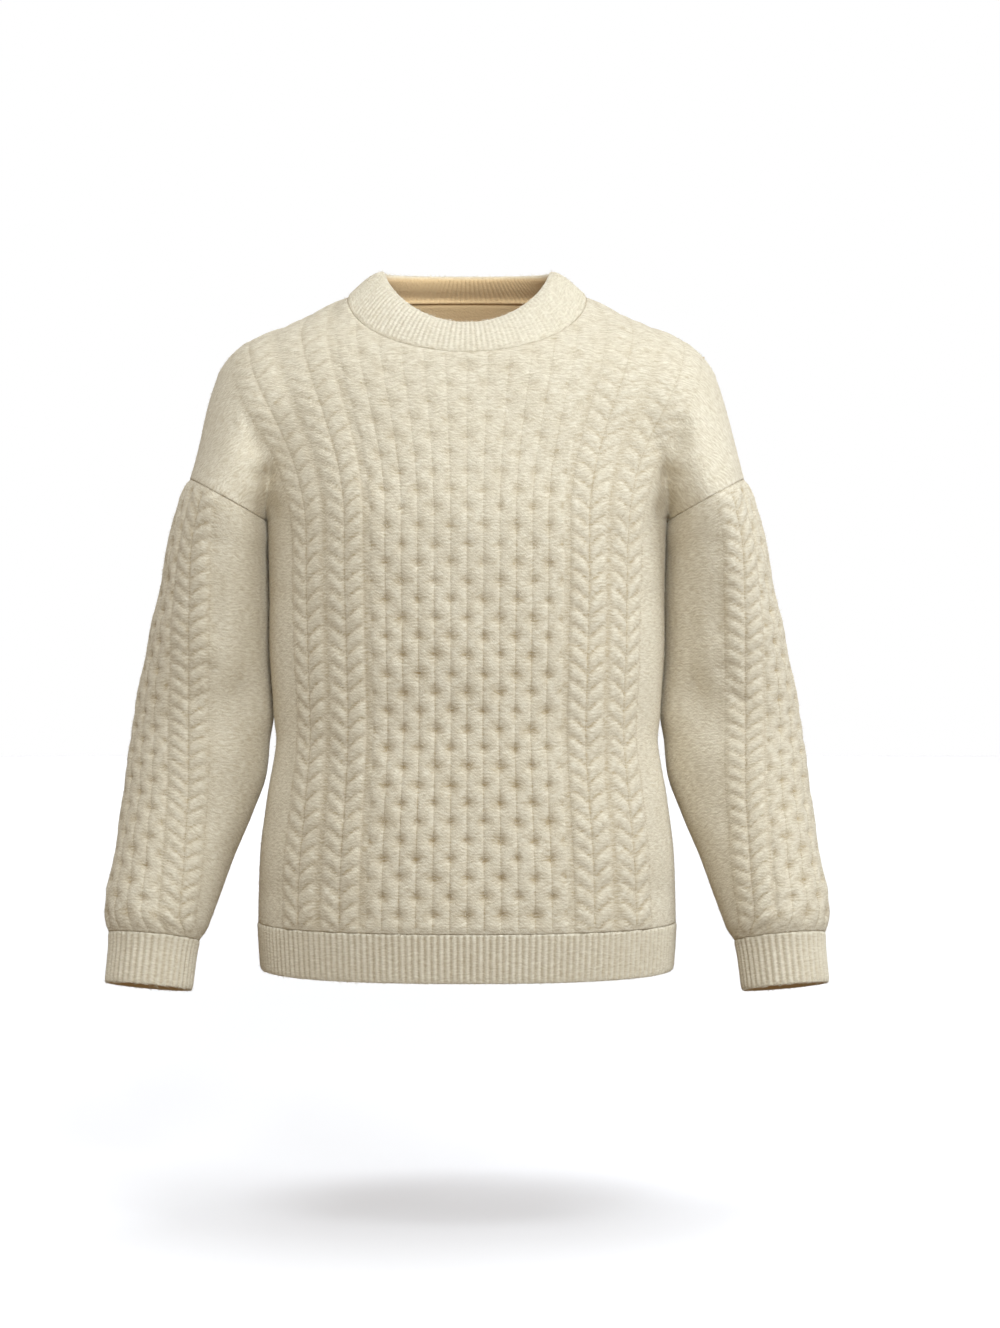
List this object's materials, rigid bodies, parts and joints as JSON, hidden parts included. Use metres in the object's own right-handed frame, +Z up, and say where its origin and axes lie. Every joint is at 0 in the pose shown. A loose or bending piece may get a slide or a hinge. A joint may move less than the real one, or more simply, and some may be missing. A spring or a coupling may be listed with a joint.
{
  "type": "cable knit sweater",
  "caption": "Loose crew neck sweater in thick cream wool, with a honeycomb panel, V cables, dropped shoulders and ribbed neck, hem and cuffs.",
  "frame": {"origin": "middle of the neck, midway between the two shoulder points where the neckband meets the shoulders", "axes": "+X towards the viewer's right when the front is looked at, which is the wearer's left; -Y out of the front; +Z up from the hem to the neck"},
  "size_m": [0.7154, 0.2558, 0.7234],
  "materials": {
    "wool_knit": "thick brushed wool knit, cream, matt and fuzzy",
    "wool_rib": "the same wool in a one by one rib, a little denser"
  },
  "bodies": {
    "root": {"front": "wool_knit", "back": "wool_knit", "sleeve_right": "wool_knit", "sleeve_left": "wool_knit", "neckband": "wool_rib", "hem_rib": "wool_rib", "cuff_right": "wool_rib", "cuff_left": "wool_rib"}
  },
  "joints": []
}
